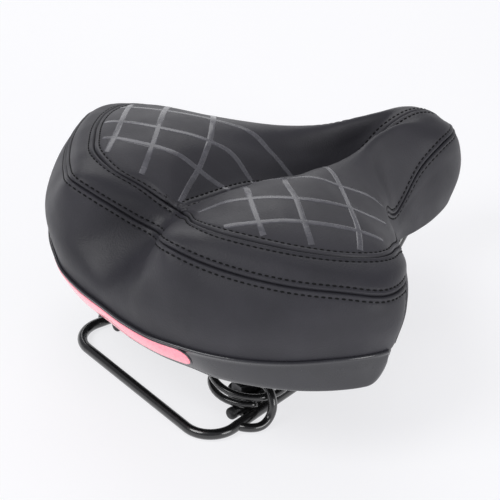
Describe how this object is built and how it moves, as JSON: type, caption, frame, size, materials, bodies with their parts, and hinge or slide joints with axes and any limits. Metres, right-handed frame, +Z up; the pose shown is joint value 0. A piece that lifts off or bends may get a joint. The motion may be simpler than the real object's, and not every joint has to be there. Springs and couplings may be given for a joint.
{
  "type": "bicycle saddle",
  "caption": "Wide padded bicycle saddle with a two-lobed rear, long pressure channel, rear bumper strip with reflector, coil springs and wire rails.",
  "frame": {"origin": "centre of the footprint, on the surface that the rails and the rear loop stand on", "axes": "+Z up, +Y towards the nose, +X the rider's right"},
  "size_m": [0.2626, 0.2684, 0.1299],
  "materials": {
    "cover": "matte fine-grain synthetic leather",
    "foam": "soft polyurethane foam",
    "gloss_strip": "glossy",
    "red_reflector": "glossy",
    "black_plastic": "matte",
    "black_wire": "gloss black",
    "black_spring": "gloss black",
    "dark_steel": "black oxide"
  },
  "bodies": {
    "frame": {"rail_wire": "black_wire", "bumper_loop": "black_wire", "loop_weld_left": "black_wire", "loop_weld_right": "black_wire", "rail_plug_left": "black_plastic", "rail_plug_right": "black_plastic", "spring_left": "black_spring", "spring_right": "black_spring", "spring_dish_left": "black_wire", "spring_dish_right": "black_wire", "dish_stud_left": "dark_steel", "dish_stud_right": "dark_steel", "dish_nut_left": "dark_steel", "dish_nut_right": "dark_steel", "spring_hook_left": "black_wire", "spring_hook_right": "black_wire"},
    "seat": {"base_shell": "black_plastic", "bumper_strip": "gloss_strip", "reflector": "red_reflector", "foam_pad": "foam", "cover_skirt": "cover", "cover_band": "cover", "cover_nose": "cover", "cover_top_left": "cover", "cover_top_right": "cover", "spring_cup_left": "black_plastic", "spring_cup_right": "black_plastic", "cup_screw_left": "dark_steel", "cup_screw_right": "dark_steel", "nose_clip": "black_plastic", "nose_screws": "dark_steel"}
  },
  "joints": [
    {"name": "suspension", "type": "hinge", "parent": "frame", "child": "seat", "pos_m": [0, 0.10403, 0.043], "axis": [1, 0, 0], "range_deg": [0, 5.5], "stiffness_Nm_per_rad": 1400, "springref_deg": -0.17, "deforming": ["spring_left", "spring_right"]}
  ]
}
